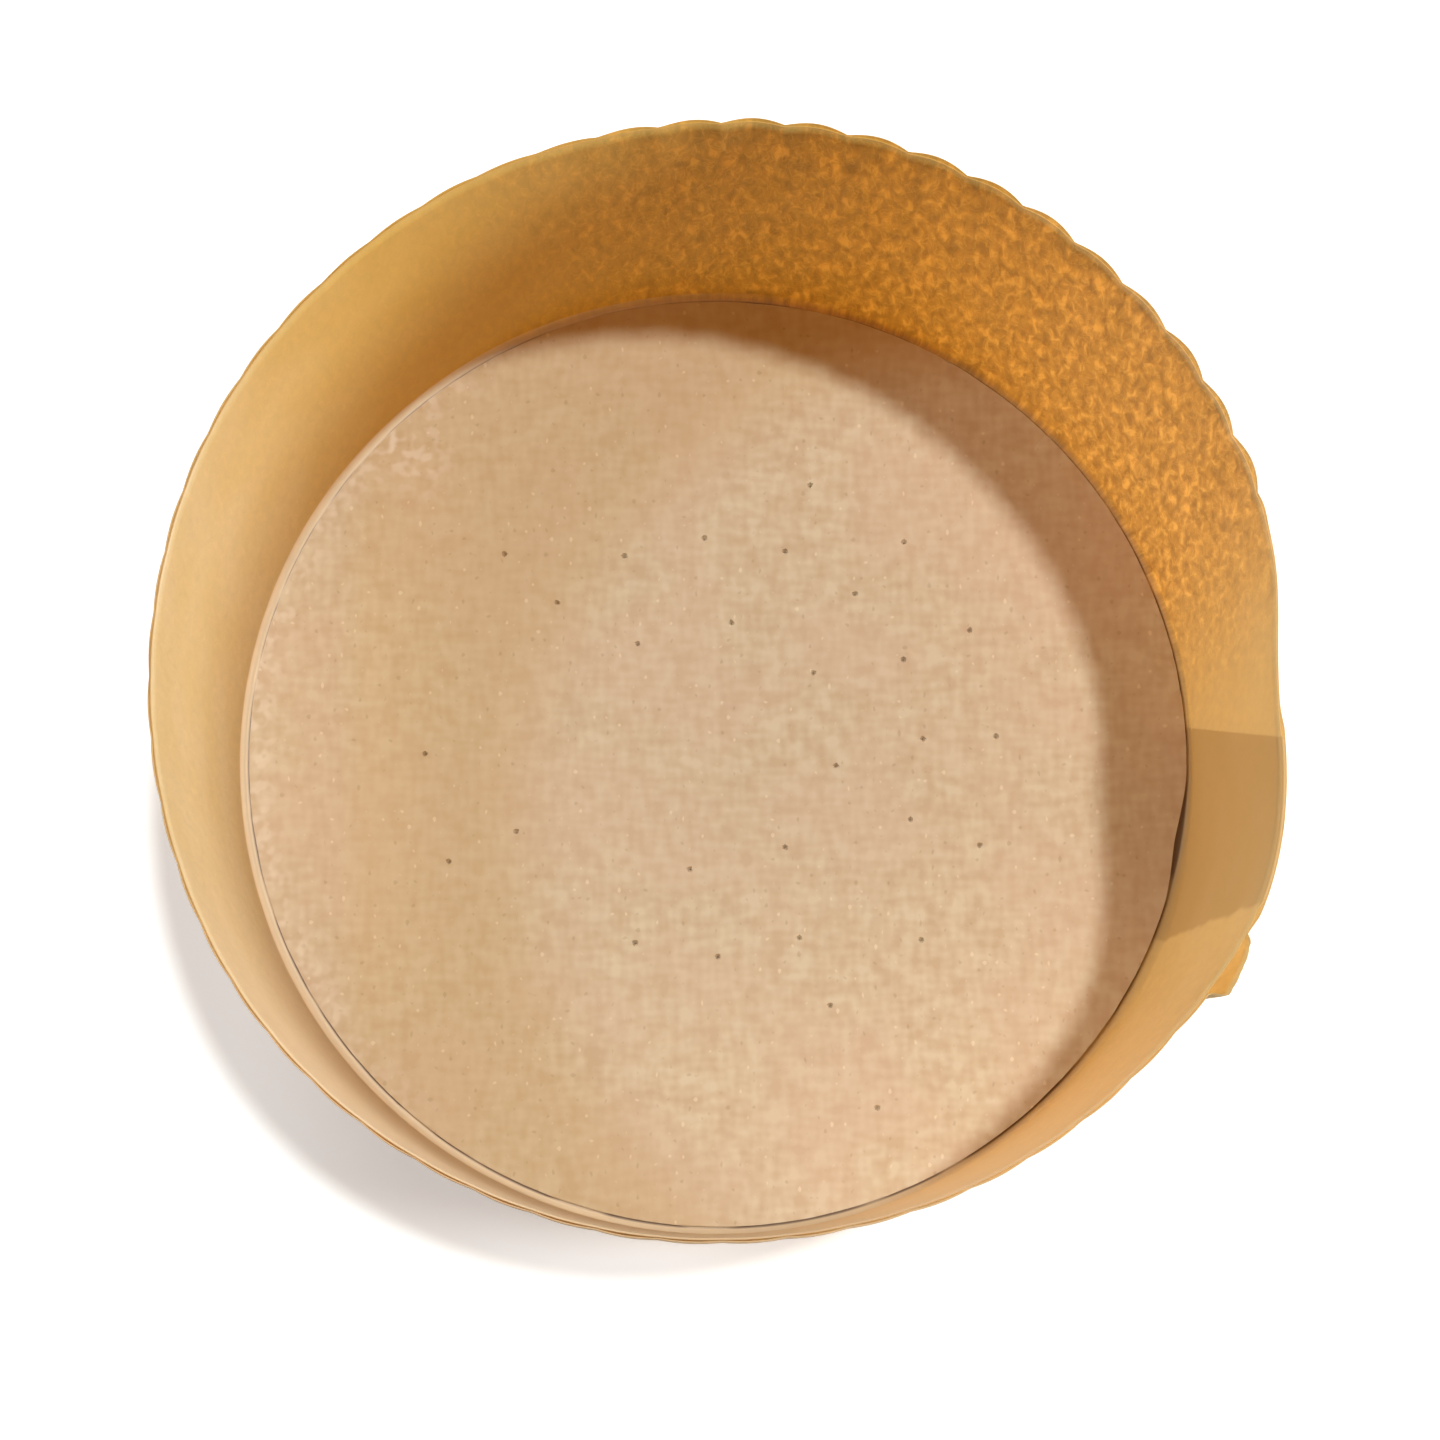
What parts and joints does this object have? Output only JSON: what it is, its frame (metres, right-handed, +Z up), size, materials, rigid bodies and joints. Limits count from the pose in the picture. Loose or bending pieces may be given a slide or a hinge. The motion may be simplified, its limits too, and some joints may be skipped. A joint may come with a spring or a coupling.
{
  "type": "paper baking mould",
  "caption": "Round kraft paper baking mould: a smooth wall folded in under a vented board base disc, with a fluted kraft strip wrapped round the outside.",
  "frame": {"origin": "centre of the underside, on the surface that the mould stands on", "axes": "+Z up, from the base to the open rim; +X points to the glued lap of the wall"},
  "size_m": [0.1015, 0.1018, 0.04],
  "materials": {
    "greaseproof_kraft": "smooth unglazed kraft paper, slightly translucent",
    "fluted_kraft": "matt fluted kraft paper, slightly translucent",
    "base_board": "matt unbleached board"
  },
  "bodies": {
    "root": {"wall_liner": "greaseproof_kraft", "fluted_outer_wall": "fluted_kraft", "base_disc": "base_board"}
  },
  "joints": []
}
